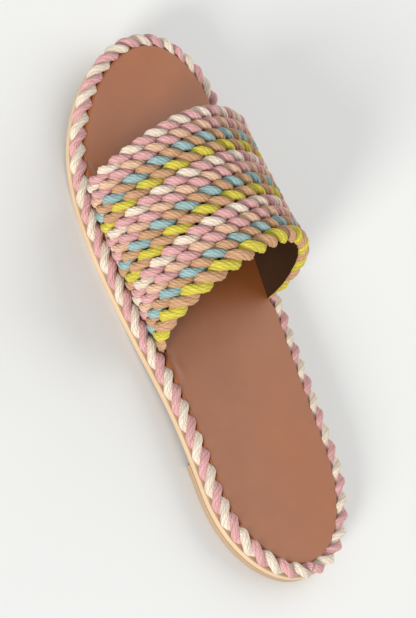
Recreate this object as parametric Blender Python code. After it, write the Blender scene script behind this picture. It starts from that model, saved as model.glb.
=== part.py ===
"""Rope slide sandal for the left foot, as a solid model in metres.

The toe points to +Y, the inner side of the foot is at +X and the ground is the plane z = 0.
The sole outline, the heights along the sole and the arch of the strap are three small functions,
and every piece is built from them.
"""

import math

import bpy
from mathutils import Vector

# Driving dimensions
SHOE_LENGTH = 0.262  # over the border rope
BALL_WIDTH = 0.0952  # over the border rope, at the widest place
HEEL_ROUND = 0.052  # length of the rounding behind the heel
TOE_ROUND = 0.060  # length of the rounding before the toes
GAP = 0.0003  # between pieces that touch

SOLE_THICKNESS = 0.0028
SOLE_EDGE_BEVEL = 0.0005
TOE_SPRING = 0.0118  # rise of the sole at the toe tip
HEEL_LIFT_THICKNESS = 0.0029
HEEL_LIFT_INSET = 0.0002
HEEL_BREAST = 0.064  # length of the heel lift

INSOLE_THICKNESS = 0.0063
INSOLE_EDGE_RADIUS = 0.0026

BORDER_ROPE_DIAMETER = 0.0064
BORDER_ROPE_PITCH = 0.0163  # length of one full turn of a strand

STRAP_ROPES = 12
STRAP_ROPE_DIAMETER = 0.00665
STRAP_ROPE_SPREAD = 0.00035  # between the ropes at the strap's ends; at the crown they close up
EDGE_ROPE_GROWTH = 1.12  # the rearmost rope is thicker than the others
STRAP_END_WALL = 0.0032  # the strap's wall where it goes down beside the insole
STRAP_LINING_DEPTH = 0.0024  # from the middle of the ropes to the inner face
STRAP_TUCK = 0.0007  # the strap starts to arch this far below the top of the border rope
STRAP_RISE = 0.0546  # of the rear rope's arch over its ends
STRAP_LEAN = 0.0168  # of the rear rope's crown towards the toe
STRAP_SHIFT = 0.0042  # of the rear rope's crown to the outer side
STRAP_OUTER_SWELL = 0.0091  # of the rear rope beyond its outer end
STRAP_INNER_SWELL = 0.0074  # of the rear rope beyond its inner end

# Shares of the shoe length where the sole leaves the ground or meets it
WAIST_END = 0.56
TOE_SPRING_START = 0.70

# The outline at sections along the shoe: share of SHOE_LENGTH from the heel,
# then the middle of the sole (towards the inner side) and its width as shares of BALL_WIDTH
OUTLINE = (
    # along, middle, width
    (0.00, -0.058, 0.805),
    (0.10, -0.060, 0.808),
    (0.22, -0.047, 0.808),
    (0.35, -0.035, 0.834),
    (0.50, -0.028, 0.917),
    (0.62, -0.022, 0.980),
    (0.72, -0.006, 1.000),
    (0.80, 0.022, 0.990),
    (0.90, 0.071, 0.998),
    (1.00, 0.100, 0.985),
)

# The strap's ends, as shares of SHOE_LENGTH
STRAP_LATERAL_END = 0.744  # the front rope's middle, on the outer side
STRAP_MEDIAL_END = 0.774  # the front rope's middle, on the inner side

# The strap's front and rear ropes as arches, as shares of the strap's sizes above, with
# the arch's power (1 is a half ellipse, less is squarer) and the lean's (more leans later)
STRAP_EDGES = {
    "front": {
        "rise": 0.676,
        "lean": 0.62,
        "shift": 0.62,
        "outer_swell": 0.82,
        "inner_swell": 0.81,
        "arch_power": 0.98,
        "lean_power": 1.8,
    },
    "rear": {
        "rise": 1.0,
        "lean": 1.0,
        "shift": 1.0,
        "outer_swell": 1.0,
        "inner_swell": 1.0,
        "arch_power": 0.78,
        "lean_power": 0.95,
    },
}

STATIONS = 36  # along the sole
STRAP_STATIONS = 34  # along the strap
ROPE_STATIONS_PER_TURN = 6
ROPE_SIDES = 8
INSOLE_EDGE_STEPS = 3

RIDGE = ((-0.58, 0.82), (0.0, 1.0), (0.58, 0.82))  # a rope's upper side: across, height
VALLEY = 0.42  # height between two ropes, as a share of the rope's radius
FULL_ROPE_LEVEL = 0.30  # share of the rise where the flattened ends have become full ropes
SWELL_POWER = 0.8  # less puts the widest place of the swell lower
ROPE_PINCH = 0.30  # how much narrower the border rope is between its two strands

COLOURS = {
    # linear base colour and roughness
    "tan_leather": ((0.40, 0.175, 0.085), 0.45),
    "sole_leather": ((0.62, 0.38, 0.19), 0.55),
    "heel_leather": ((0.55, 0.33, 0.16), 0.55),
    "cotton_rope": ((0.72, 0.40, 0.42), 0.9),
    "cotton_strap": ((0.75, 0.50, 0.42), 0.9),
}


def smoothstep(value):
    value = min(max(value, 0.0), 1.0)
    return value * value * (3 - 2 * value)


def between(start, end, share):
    return start + (end - start) * share


def through(rows, column, at):
    """A smooth curve through one column of a table whose first column runs upwards."""
    last = len(rows) - 1
    at = min(max(at, rows[0][0]), rows[last][0])
    i = next(n for n in range(last) if at <= rows[n + 1][0])

    def slope(n):
        low, high = max(n - 1, 0), min(n + 1, last)
        return (rows[high][column] - rows[low][column]) / (rows[high][0] - rows[low][0])

    span = rows[i + 1][0] - rows[i][0]
    t = (at - rows[i][0]) / span
    start, end = rows[i][column], rows[i + 1][column]
    return (
        (2 * t**3 - 3 * t**2 + 1) * start
        + (t**3 - 2 * t**2 + t) * span * slope(i)
        + (3 * t**2 - 2 * t**3) * end
        + (t**3 - t**2) * span * slope(i + 1)
    )


def round_end(distance, length):
    """Share of the full width at a distance from the tip of an elliptic end."""
    left = 1 - min(max(distance / length, 0.0), 1.0)
    return math.sqrt(max(0.0, 1 - left * left))


def middle(y):
    return BALL_WIDTH * through(OUTLINE, 1, y / SHOE_LENGTH)


def half_width(y):
    full = BALL_WIDTH * through(OUTLINE, 2, y / SHOE_LENGTH) / 2
    return full * round_end(y, HEEL_ROUND) * round_end(SHOE_LENGTH - y, TOE_ROUND)


def edge_x(y, side):
    """x of the outline: side is -1 on the outer side of the foot and 1 on the inner side."""
    return middle(y) + side * half_width(y)


def ground_rise(y):
    """Height of the sole's underside over the ground."""
    heel_height = HEEL_LIFT_THICKNESS + GAP
    waist_length = WAIST_END * SHOE_LENGTH - HEEL_BREAST
    heel = heel_height * smoothstep((WAIST_END * SHOE_LENGTH - y) / waist_length)
    toe = max(0.0, (y / SHOE_LENGTH - TOE_SPRING_START) / (1 - TOE_SPRING_START))
    return heel + TOE_SPRING * toe**2


def sole_top(y):
    return ground_rise(y) + SOLE_THICKNESS


def outward(y, side):
    """Unit normal of the outline in plan, away from the foot."""
    if y <= 0 or y >= SHOE_LENGTH:
        return Vector((0, -1 if y <= 0 else 1, 0))
    step = min(1e-5, y / 2, (SHOE_LENGTH - y) / 2)
    run = Vector((edge_x(y + step, side) - edge_x(y - step, side), 2 * step, 0))
    return Vector((run.y, -run.x, 0)).normalized() * side


def station_ys():
    """Where the sole is cut into sections: close together at the ends, and at each change of height."""
    even = [SHOE_LENGTH * (1 - math.cos(math.pi * n / STATIONS)) / 2 for n in range(STATIONS + 1)]
    marks = [HEEL_BREAST, WAIST_END * SHOE_LENGTH, TOE_SPRING_START * SHOE_LENGTH]
    for side in (-1, 1):
        low, high = notch_span(side)
        marks += [low - NOTCH_RAMP, low, high, high + NOTCH_RAMP]
    apart = SHOE_LENGTH / STATIONS / 3
    kept = [y for y in even if all(abs(y - mark) > apart for mark in marks)]
    return sorted(kept + marks)


def outline_ring(ys, inset, height):
    """One closed ring of points: the heel tip, the outer side, the toe tip, then the inner side back.

    inset(y, side) is the distance inside the outline and height(y) the z there.
    With stations that stop before the toe, the ring has a straight front.
    """

    def point(y, side):
        p = Vector((edge_x(y, side), y, 0)) - outward(y, side) * inset(y, side)
        return Vector((p.x, p.y, height(y)))

    whole = ys[-1] >= SHOE_LENGTH
    sides = ys[1:-1] if whole else ys[1:]
    ring = [point(ys[0], -1)] + [point(y, -1) for y in sides]
    ring += [point(ys[-1], -1)] if whole else []
    return ring + [point(y, 1) for y in reversed(sides)]


def material(name):
    colour, roughness = COLOURS[name]
    made = bpy.data.materials.new(name)
    made.use_nodes = True
    shader = made.node_tree.nodes["Principled BSDF"]
    shader.inputs["Base Color"].default_value = (*colour, 1)
    shader.inputs["Roughness"].default_value = roughness
    return made


def add_object(name, points, faces, finish):
    mesh = bpy.data.meshes.new(name)
    mesh.from_pydata([tuple(p) for p in points], [], faces)
    mesh.materials.append(material(finish))
    mesh.shade_smooth()
    mesh.set_sharp_from_angle(angle=math.radians(40))
    made = bpy.data.objects.new(name, mesh)
    bpy.context.scene.collection.objects.link(made)
    return made


def cap(first, count, upwards):
    """Faces that close a ring by joining each point to the one across the foot."""
    faces = []
    for i in range(count // 2):
        a, b, c, d = i, i + 1, count - i - 1, (count - i) % count
        face = [a, b, c, d] if a != d else [a, b, c]
        if b == c:
            face = [a, b, d]
        if b <= c:
            faces.append([first + n for n in (face[::-1] if upwards else face)])
    return faces


def stacked_body(name, rings, finish):
    """A closed body from rings of equal length, the lowest first."""
    count = len(rings[0])
    faces = cap(0, count, upwards=False)
    for level in range(len(rings) - 1):
        low, high = level * count, (level + 1) * count
        for i in range(count):
            j = (i + 1) % count
            faces.append([low + i, high + i, high + j, low + j])
    faces += cap((len(rings) - 1) * count, count, upwards=True)
    return add_object(name, [p for ring in rings for p in ring], faces, finish)


# The strap

STRAP_SPAN = (STRAP_ROPES - 1) * (STRAP_ROPE_DIAMETER + STRAP_ROPE_SPREAD)
STRAP_INSET = BORDER_ROPE_DIAMETER + GAP + STRAP_END_WALL / 2  # of the strap's ends
STRAP_BASE_HEIGHT = GAP + BORDER_ROPE_DIAMETER - STRAP_TUCK
NOTCH_DEPTH = STRAP_END_WALL + GAP  # cut into the insole for the strap's ends
NOTCH_MARGIN = 0.0006  # beyond the strap's edge ropes
NOTCH_RAMP = 0.0020


def strap_end_y(across, side):
    front = STRAP_MEDIAL_END if side > 0 else STRAP_LATERAL_END
    return front * SHOE_LENGTH - across * STRAP_SPAN


def rope_radius(across):
    """Radius of the ropes across the strap; the rearmost one is thicker."""
    growth = smoothstep((across - 1) * (STRAP_ROPES - 1) + 1)
    return STRAP_ROPE_DIAMETER / 2 * between(1, EDGE_ROPE_GROWTH, growth)


def notch_span(side):
    """The rear and front ends of the insole's notch on one side."""
    rear = strap_end_y(1, side) - rope_radius(1) - NOTCH_MARGIN
    front = strap_end_y(0, side) + rope_radius(0) + NOTCH_MARGIN
    return rear, front


def strap_edge(across, name):
    return between(STRAP_EDGES["front"][name], STRAP_EDGES["rear"][name], across)


def strap_middle(across, angle):
    """The middle of the strap's wall: across is 0 at the front rope and 1 at the rear one,
    and angle runs from 0 at the outer end over the crown to pi at the inner end."""
    swing = math.cos(angle)
    power = strap_edge(across, "arch_power")
    level = max(0.0, math.sin(angle)) ** power
    share = 0.5 * (1 - math.copysign(abs(swing) ** power, swing))
    ends = []
    for side in (-1, 1):
        y = strap_end_y(across, side)
        base = Vector((edge_x(y, side), y, 0)) - outward(y, side) * STRAP_INSET
        ends.append(Vector((base.x, base.y, sole_top(y) + STRAP_BASE_HEIGHT)))
    point = ends[0].lerp(ends[1], share)
    point.x -= level * STRAP_SHIFT * strap_edge(across, "shift")
    point.y += level ** strap_edge(across, "lean_power") * STRAP_LEAN * strap_edge(across, "lean")
    point.z += level * STRAP_RISE * strap_edge(across, "rise")
    swell = math.sin(math.pi * level**SWELL_POWER) * math.sqrt(abs(2 * share - 1))
    if share > 0.5:
        point.x += swell * STRAP_INNER_SWELL * strap_edge(across, "inner_swell")
    else:
        point.x -= swell * STRAP_OUTER_SWELL * strap_edge(across, "outer_swell")
    return point


def strap_point(across, angle, drop, offset):
    """A point of the strap's wall, offset from its middle outwards and dropped towards the sole."""
    step = 0.01
    if drop > 0:
        side = -1 if angle < 1 else 1
        normal = outward(strap_end_y(across, side), side)
        end = strap_middle(across, angle)
        return end + normal * offset + Vector((0, 0, -drop))
    low, high = max(angle - step, 0.0), min(angle + step, math.pi)
    along = strap_middle(across, high) - strap_middle(across, low)
    back = strap_middle(across + step, angle) - strap_middle(across - step, angle)
    return strap_middle(across, angle) + back.cross(along).normalized() * offset


def strap_profile():
    """The wall's cross-section as (across, height) with height in rope radii, or None on the inner face.

    The outer side has a ridge for each rope, and the inner face is plain."""
    half = 0.5 / (STRAP_ROPES - 1)
    outer = [(-half, 0.0)]
    for rope in range(STRAP_ROPES):
        middle_of_rope = rope / (STRAP_ROPES - 1)
        growth = EDGE_ROPE_GROWTH if rope == STRAP_ROPES - 1 else 1
        outer += [(middle_of_rope + x * half * growth, z) for x, z in RIDGE]
        if rope < STRAP_ROPES - 1:
            outer.append((middle_of_rope + half, VALLEY))
    outer.append((1 + half * EDGE_ROPE_GROWTH, 0.0))
    inner = [(rope / (STRAP_ROPES - 1), None) for rope in reversed(range(STRAP_ROPES))]
    return outer + inner


def make_strap():
    """The upper: one band of twelve ropes sewn side by side, open at the front, the rear and below."""
    profile = strap_profile()
    arch = [math.pi * n / STRAP_STATIONS for n in range(STRAP_STATIONS + 1)]
    first_angles = [arch[1] * share for share in (0.2, 0.5)]
    angles = [0.0] + first_angles + arch[1:-1] + [math.pi - a for a in reversed(first_angles)] + [math.pi]
    drops = [STRAP_BASE_HEIGHT - GAP, STRAP_BASE_HEIGHT / 2]
    places = [(0.0, drop) for drop in drops] + [(angle, 0.0) for angle in angles]
    places += [(math.pi, drop) for drop in reversed(drops)]
    end_scale = STRAP_END_WALL / 2 / (STRAP_ROPE_DIAMETER / 2)

    points = []
    for angle, drop in places:
        level = max(0.0, math.sin(angle))
        full = smoothstep(level / FULL_ROPE_LEVEL) if drop == 0 else 0.0
        for across, height in profile:
            radius = rope_radius(across)
            if height is None:
                offset = -between(STRAP_END_WALL / 2, STRAP_LINING_DEPTH, full)
            else:
                squeezed = 0.0 if height == 0 else radius * between(end_scale, height, full)
                offset = min(squeezed, between(STRAP_END_WALL / 2, radius, full))
            points.append(strap_point(across, angle, drop, offset))

    count = len(profile)
    faces = [list(reversed(range(count)))]
    for place in range(len(places) - 1):
        low, high = place * count, (place + 1) * count
        for i in range(count):
            j = (i + 1) % count
            faces.append([low + i, low + j, high + j, high + i])
    faces.append([len(points) - count + n for n in range(count)])
    return add_object("strap", points, faces, "cotton_strap")


# The sole pieces


def make_outsole():
    ys = station_ys()
    bevel = SOLE_EDGE_BEVEL
    rings = [
        outline_ring(ys, lambda y, side: bevel, ground_rise),
        outline_ring(ys, lambda y, side: 0.0, lambda y: ground_rise(y) + bevel),
        outline_ring(ys, lambda y, side: 0.0, lambda y: sole_top(y) - bevel),
        outline_ring(ys, lambda y, side: bevel, sole_top),
    ]
    return stacked_body("outsole", rings, "sole_leather")


def make_heel_lift():
    ys = [y for y in station_ys() if y <= HEEL_BREAST]
    bevel, inset = SOLE_EDGE_BEVEL, HEEL_LIFT_INSET
    rings = [
        outline_ring(ys, lambda y, side: inset + bevel, lambda y: 0.0),
        outline_ring(ys, lambda y, side: inset, lambda y: bevel),
        outline_ring(ys, lambda y, side: inset, lambda y: HEEL_LIFT_THICKNESS),
    ]
    return stacked_body("heel_lift", rings, "heel_leather")


def insole_inset(y, side):
    """Distance of the insole's edge inside the outline, with the notch for the strap's end."""
    low, high = notch_span(side)
    notch = min(smoothstep((y - low) / NOTCH_RAMP + 1), smoothstep((high - y) / NOTCH_RAMP + 1))
    return BORDER_ROPE_DIAMETER + GAP + NOTCH_DEPTH * notch


def make_insole():
    ys = station_ys()
    shoulder = GAP + INSOLE_THICKNESS - INSOLE_EDGE_RADIUS
    rings = [outline_ring(ys, insole_inset, lambda y: sole_top(y) + GAP)]
    for step in range(INSOLE_EDGE_STEPS + 1):
        turn = math.pi / 2 * step / INSOLE_EDGE_STEPS
        inwards = INSOLE_EDGE_RADIUS * (1 - math.cos(turn))
        up = shoulder + INSOLE_EDGE_RADIUS * math.sin(turn)
        rings.append(
            outline_ring(
                ys,
                lambda y, side, inwards=inwards: insole_inset(y, side) + inwards,
                lambda y, up=up: sole_top(y) + up,
            )
        )
    return stacked_body("insole", rings, "tan_leather")


def border_path():
    """The middle line of the border rope as an even closed loop, with its length."""
    radius = BORDER_ROPE_DIAMETER / 2
    fine = 8 * STATIONS
    ys = [SHOE_LENGTH * (1 - math.cos(math.pi * n / fine)) / 2 for n in range(fine + 1)]
    loop = outline_ring(ys, lambda y, side: radius, lambda y: sole_top(y) + GAP + radius)
    steps = [(loop[(n + 1) % len(loop)] - p).length for n, p in enumerate(loop)]
    length = sum(steps)
    turns = round(length / BORDER_ROPE_PITCH)
    count = turns * ROPE_STATIONS_PER_TURN
    path, n, passed = [], 0, 0.0
    for k in range(count):
        target = length * k / count
        while passed + steps[n] < target:
            passed += steps[n]
            n += 1
        path.append(loop[n].lerp(loop[(n + 1) % len(loop)], (target - passed) / steps[n]))
    return path


def make_border_rope():
    """A two-strand rope laid round the sole's edge, as one body whose section turns as it goes."""
    path = border_path()
    radius = BORDER_ROPE_DIAMETER / 2
    points = []
    for n, here in enumerate(path):
        along = (path[(n + 1) % len(path)] - path[n - 1]).normalized()
        side = along.cross(Vector((0, 0, 1))).normalized()
        up = side.cross(along)
        lay = 2 * math.pi * n / ROPE_STATIONS_PER_TURN
        for k in range(ROPE_SIDES):
            turn = 2 * math.pi * k / ROPE_SIDES
            out = radius * (1 - ROPE_PINCH * math.sin(turn) ** 2)
            points.append(here + out * (math.cos(turn + lay) * side + math.sin(turn + lay) * up))
    faces = []
    for n in range(len(path)):
        for k in range(ROPE_SIDES):
            j = (k + 1) % ROPE_SIDES
            low, high = n * ROPE_SIDES, (n + 1) * ROPE_SIDES
            faces.append([i % len(points) for i in (low + k, high + k, high + j, low + j)])
    return add_object("border_rope", points, faces, "cotton_rope")


def centre_on_origin(objects):
    """Moves the meshes so that the origin is under the middle of the shoe's box."""
    corners = [v.co for made in objects for v in made.data.vertices]
    low = Vector([min(p[axis] for p in corners) for axis in range(3)])
    high = Vector([max(p[axis] for p in corners) for axis in range(3)])
    shift = Vector((-(low.x + high.x) / 2, -(low.y + high.y) / 2, -low.z))
    for made in objects:
        for vertex in made.data.vertices:
            vertex.co += shift


def main():
    for old in list(bpy.data.objects):
        bpy.data.objects.remove(old)
    centre_on_origin(
        [make_outsole(), make_heel_lift(), make_insole(), make_border_rope(), make_strap()]
    )


main()
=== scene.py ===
# Rope slide sandal, left foot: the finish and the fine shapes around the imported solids.
# Places are metres. y is measured from the heel's tip until a mesh is made, see toFrame.
import math

import bmesh
import bpy
from mathutils import Matrix, Vector


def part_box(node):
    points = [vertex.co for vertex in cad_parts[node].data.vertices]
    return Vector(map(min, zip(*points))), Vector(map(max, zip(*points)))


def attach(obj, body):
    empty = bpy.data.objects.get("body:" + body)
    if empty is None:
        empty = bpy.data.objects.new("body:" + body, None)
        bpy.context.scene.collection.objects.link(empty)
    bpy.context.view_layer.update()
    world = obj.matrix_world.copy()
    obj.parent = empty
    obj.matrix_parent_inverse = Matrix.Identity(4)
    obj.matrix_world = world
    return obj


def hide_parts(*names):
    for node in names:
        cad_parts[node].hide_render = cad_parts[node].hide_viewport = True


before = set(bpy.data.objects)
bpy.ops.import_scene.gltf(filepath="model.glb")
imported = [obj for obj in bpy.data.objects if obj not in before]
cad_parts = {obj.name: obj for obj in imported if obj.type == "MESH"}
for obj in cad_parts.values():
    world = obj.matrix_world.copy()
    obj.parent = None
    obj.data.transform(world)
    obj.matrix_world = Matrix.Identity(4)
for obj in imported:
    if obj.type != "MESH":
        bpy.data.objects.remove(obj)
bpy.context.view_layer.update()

mm = 0.001


# The camera, the light and the floor

view = {
    "place": (-0.7042, -0.1938, 0.8283),
    "aim": (-0.0191, -0.0060, 0.0280),  # a point over the insole's middle
    "rollDegrees": 56.4,
    "lens": 140,
    "sensor": 36,
}

light = {
    "keyFrom": (-0.77, -0.35, 0.24),  # towards the key light, which stands left of the picture
    "keyStrength": 3.5,
    "keySoftnessDegrees": 17,
    "boardFrom": (0.85, 0.10, 0.30),  # towards a white board that fills the shaded side
    "boardStrength": 2.7,
    "boardSoftnessDegrees": 80,
    "roomLight": 0.64,
    "roomColour": "#FFFFFF",
    "keyColour": "#FFFDF8",
}

paper = {
    "size": 6.0,
    "colour": "#DCDDDD",
    "tooth": 1.5 * mm,
    "toothDepth": 0.1 * mm,
}


def linear(hexColour):
    # one sRGB hex value to the linear colour that shaders take
    channels = [int(hexColour[n : n + 2], 16) / 255 for n in (1, 3, 5)]
    return tuple(c / 12.92 if c <= 0.04045 else ((c + 0.055) / 1.055) ** 2.4 for c in channels) + (1.0,)


def makeCamera():
    data = bpy.data.cameras.new("camera")
    data.lens = view["lens"]
    data.sensor_width = view["sensor"]
    data.clip_end = 20
    camera = bpy.data.objects.new("camera", data)
    bpy.context.scene.collection.objects.link(camera)
    place = Vector(view["place"])
    look = (Vector(view["aim"]) - place).to_track_quat("-Z", "Y").to_matrix().to_4x4()
    roll = Matrix.Rotation(math.radians(view["rollDegrees"]), 4, "Z")
    camera.matrix_world = Matrix.Translation(place) @ look @ roll
    bpy.context.scene.camera = camera


def makeSun(name, towards, strength, softness):
    data = bpy.data.lights.new(name, "SUN")
    data.energy = strength
    data.angle = math.radians(softness)
    data.color = linear(light["keyColour"])[:3]
    made = bpy.data.objects.new(name, data)
    made.rotation_euler = Vector(towards).to_track_quat("Z", "Y").to_euler()
    bpy.context.scene.collection.objects.link(made)


def makeLights():
    makeSun("windowKey", light["keyFrom"], light["keyStrength"], light["keySoftnessDegrees"])
    makeSun("whiteBoard", light["boardFrom"], light["boardStrength"], light["boardSoftnessDegrees"])
    world = bpy.data.worlds.new("paleRoom")
    world.use_nodes = True
    shell = world.node_tree.nodes["Background"]
    shell.inputs["Color"].default_value = linear(light["roomColour"])
    shell.inputs["Strength"].default_value = light["roomLight"]
    bpy.context.scene.world = world


makeCamera()
makeLights()
bpy.context.scene.view_settings.view_transform = "Standard"
print("camera and light are set")


# Materials


def addNode(tree, kind, settings=None, inputs=None):
    # a node with its settings; inputs are values, sockets, or nodes whose first output is meant
    node = tree.nodes.new(kind)
    for name, value in (settings or {}).items():
        setattr(node, name, value)
    for key, value in (inputs or {}).items():
        if isinstance(value, bpy.types.Node):
            value = value.outputs[0]
        if isinstance(value, bpy.types.NodeSocket):
            tree.links.new(value, node.inputs[key])
        else:
            node.inputs[key].default_value = value
    return node


def newMaterial(name):
    made = bpy.data.materials.new(name)
    made.use_nodes = True
    tree = made.node_tree
    return made, tree, tree.nodes["Principled BSDF"]


cotton = {
    "fibreWidth": 0.42 * mm,
    "fibreStretch": 0.22,  # less is longer along the strand
    "clumpSize": 3.2 * mm,
    "plyPitch": 1.1 * mm,
    "plyTicksRound": 12.0,  # a whole number, so that no seam shows
    "plyLooseness": 7.0,
    "plyHeight": 0.22,  # over the fibres' height
    "reliefDepth": 0.34 * mm,
}


def makeYarn(name, colour, shade):
    # Cotton cord, spun from soft yarns and left unwaxed: no gloss, a pale fuzz along its edges,
    # fine fibres that run along the strand, and painted shade: the colour is darker between the yarns.
    made, tree, shader = newMaterial(name)
    strand = addNode(tree, "ShaderNodeAttribute", {"attribute_name": "strandPlace"})
    ridge = addNode(tree, "ShaderNodeAttribute", {"attribute_name": "yarnRidge"})
    # strandPlace is the strand laid out straight, in metres, so fibres stretch along its z
    fibreFrame = addNode(
        tree,
        "ShaderNodeMapping",
        None,
        {"Vector": strand.outputs["Vector"], "Scale": (1, 1, cotton["fibreStretch"])},
    )
    fibres = addNode(
        tree,
        "ShaderNodeTexNoise",
        None,
        {"Vector": fibreFrame, "Scale": 1 / cotton["fibreWidth"], "Detail": 3, "Roughness": 0.65},
    )
    # the yarns' own ply: ticks that slant round the strand
    parts = addNode(tree, "ShaderNodeSeparateXYZ", None, {"Vector": strand.outputs["Vector"]})
    angle = addNode(
        tree, "ShaderNodeMath", {"operation": "ARCTAN2"}, {0: parts.outputs["Y"], 1: parts.outputs["X"]}
    )
    climb = addNode(
        tree,
        "ShaderNodeMath",
        {"operation": "MULTIPLY"},
        {0: parts.outputs["Z"], 1: math.tau / cotton["plyPitch"]},
    )
    slant = addNode(
        tree,
        "ShaderNodeMath",
        {"operation": "MULTIPLY_ADD"},
        {0: angle, 1: cotton["plyTicksRound"], 2: climb},
    )
    loose = addNode(
        tree,
        "ShaderNodeMath",
        {"operation": "MULTIPLY_ADD"},
        {0: fibres.outputs["Fac"], 1: cotton["plyLooseness"], 2: slant},
    )
    ticks = addNode(tree, "ShaderNodeMath", {"operation": "SINE"}, {0: loose})
    clumps = addNode(
        tree,
        "ShaderNodeTexNoise",
        None,
        {"Vector": strand.outputs["Vector"], "Scale": 1 / cotton["clumpSize"], "Detail": 2},
    )
    # painted shade: where the yarn ridge is low, between the yarns, the colour goes towards the darker
    # shade colour
    depth = addNode(
        tree,
        "ShaderNodeMapRange",
        {"interpolation_type": "SMOOTHSTEP"},
        {"Value": ridge.outputs["Fac"], "From Min": 0.05, "From Max": 0.70, "To Min": 0.05, "To Max": 0.50},
    )
    speckle = addNode(
        tree,
        "ShaderNodeMapRange",
        None,
        {"Value": fibres.outputs["Fac"], "From Min": 0.35, "From Max": 0.65, "To Min": 0.0, "To Max": 0.55},
    )
    # painted shade between the yarns, added to the fibres' random speckle
    grooveShadeAndSpeckle = addNode(
        tree,
        "ShaderNodeMath",
        {"operation": "ADD"},
        {0: depth.outputs["Result"], 1: speckle.outputs["Result"]},
    )
    tint = addNode(
        tree, "ShaderNodeMix", {"data_type": "RGBA"}, {"Factor": grooveShadeAndSpeckle, 6: linear(shade), 7: linear(colour)}
    )
    patches = addNode(tree, "ShaderNodeValToRGB", None, {"Fac": clumps.outputs["Fac"]})
    patches.color_ramp.elements[0].position = 0.35
    patches.color_ramp.elements[0].color = (0.90, 0.89, 0.88, 1)
    patches.color_ramp.elements[1].position = 0.62
    patches.color_ramp.elements[1].color = (1, 1, 1, 1)
    base = addNode(
        tree,
        "ShaderNodeMix",
        {"data_type": "RGBA", "blend_type": "MULTIPLY"},
        {"Factor": 1.0, 6: tint.outputs[2], 7: patches.outputs["Color"]},
    )
    relief = addNode(
        tree,
        "ShaderNodeMath",
        {"operation": "MULTIPLY_ADD"},
        {0: ticks, 1: cotton["plyHeight"], 2: fibres.outputs["Fac"]},
    )
    bump = addNode(
        tree, "ShaderNodeBump", None, {"Strength": 0.9, "Distance": cotton["reliefDepth"], "Height": relief}
    )
    tree.links.new(base.outputs[2], shader.inputs["Base Color"])
    tree.links.new(bump.outputs["Normal"], shader.inputs["Normal"])
    shader.inputs["Roughness"].default_value = 0.92
    shader.inputs["Specular IOR Level"].default_value = 0.25
    shader.inputs["Sheen Weight"].default_value = 0.1
    shader.inputs["Sheen Roughness"].default_value = 0.6
    shader.inputs["Sheen Tint"].default_value = linear(colour)
    return made


leather = {
    "patchSize": 38 * mm,
    "poreShare": 0.45,  # of the grain's size
    "shinier": 0.06,
    "duller": 0.08,
}


def makeLeather(name, colours, grain, roughness, coat, bumpDepth, specular=0.5):
    # Leather: colours from dark to light over soft patches, with a grain of the given size,
    # and duller or shinier from pore to pore.
    made, tree, shader = newMaterial(name)
    place = addNode(tree, "ShaderNodeTexCoord").outputs["Object"]
    patches = addNode(
        tree,
        "ShaderNodeTexNoise",
        None,
        {"Vector": place, "Scale": 1 / leather["patchSize"], "Detail": 4, "Roughness": 0.62},
    )
    tint = addNode(tree, "ShaderNodeValToRGB", None, {"Fac": patches.outputs["Fac"]})
    tint.color_ramp.elements[0].position = 0.28
    tint.color_ramp.elements[0].color = linear(colours[0])
    tint.color_ramp.elements[1].position = 0.72
    tint.color_ramp.elements[1].color = linear(colours[1])
    pebbles = addNode(
        tree,
        "ShaderNodeTexVoronoi",
        {"feature": "SMOOTH_F1"},
        {"Vector": place, "Scale": 1 / grain, "Smoothness": 0.6},
    )
    pores = addNode(
        tree,
        "ShaderNodeTexNoise",
        None,
        {"Vector": place, "Scale": 1 / (leather["poreShare"] * grain), "Detail": 3, "Roughness": 0.6},
    )
    height = addNode(
        tree,
        "ShaderNodeMath",
        {"operation": "ADD"},
        {0: pebbles.outputs["Distance"], 1: pores.outputs["Fac"]},
    )
    bump = addNode(tree, "ShaderNodeBump", None, {"Strength": 0.5, "Distance": bumpDepth, "Height": height})
    dullness = addNode(
        tree,
        "ShaderNodeMapRange",
        None,
        {
            "Value": pores.outputs["Fac"],
            "From Min": 0.35,
            "From Max": 0.65,
            "To Min": roughness - leather["shinier"],
            "To Max": roughness + leather["duller"],
        },
    )
    tree.links.new(tint.outputs["Color"], shader.inputs["Base Color"])
    tree.links.new(dullness.outputs["Result"], shader.inputs["Roughness"])
    tree.links.new(bump.outputs["Normal"], shader.inputs["Normal"])
    shader.inputs["Coat Weight"].default_value = coat
    shader.inputs["Coat Roughness"].default_value = 0.35
    shader.inputs["Specular IOR Level"].default_value = specular
    return made


def makeFloorPaper():
    # Matt white backdrop paper: no gloss, and a tooth too fine to see but as a faint mottle.
    made, tree, shader = newMaterial("backdropPaper")
    place = addNode(tree, "ShaderNodeTexCoord").outputs["Object"]
    tooth = addNode(
        tree, "ShaderNodeTexNoise", None, {"Vector": place, "Scale": 1 / paper["tooth"], "Detail": 3}
    )
    bump = addNode(
        tree,
        "ShaderNodeBump",
        None,
        {"Strength": 0.1, "Distance": paper["toothDepth"], "Height": tooth.outputs["Fac"]},
    )
    tree.links.new(bump.outputs["Normal"], shader.inputs["Normal"])
    shader.inputs["Base Color"].default_value = linear(paper["colour"])
    shader.inputs["Roughness"].default_value = 0.95
    shader.inputs["Specular IOR Level"].default_value = 0.1
    return made


# each yarn's colour and its darker shade colour, which is painted as shade between its yarns and also gives
# its speckle
yarns = {
    "cream": makeYarn("creamCotton", "#DDD3C7", "#BAA487"),
    "pink": makeYarn("pinkCotton", "#CEA4A3", "#AC7174"),
    "peach": makeYarn("peachCotton", "#D3B59D", "#B48464"),
    "tan": makeYarn("tanCotton", "#C39C7B", "#916746"),
    "blue": makeYarn("blueCotton", "#99B4B5", "#608084"),
    "yellow": makeYarn("yellowCotton", "#CCC150", "#97881F"),
}
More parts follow.
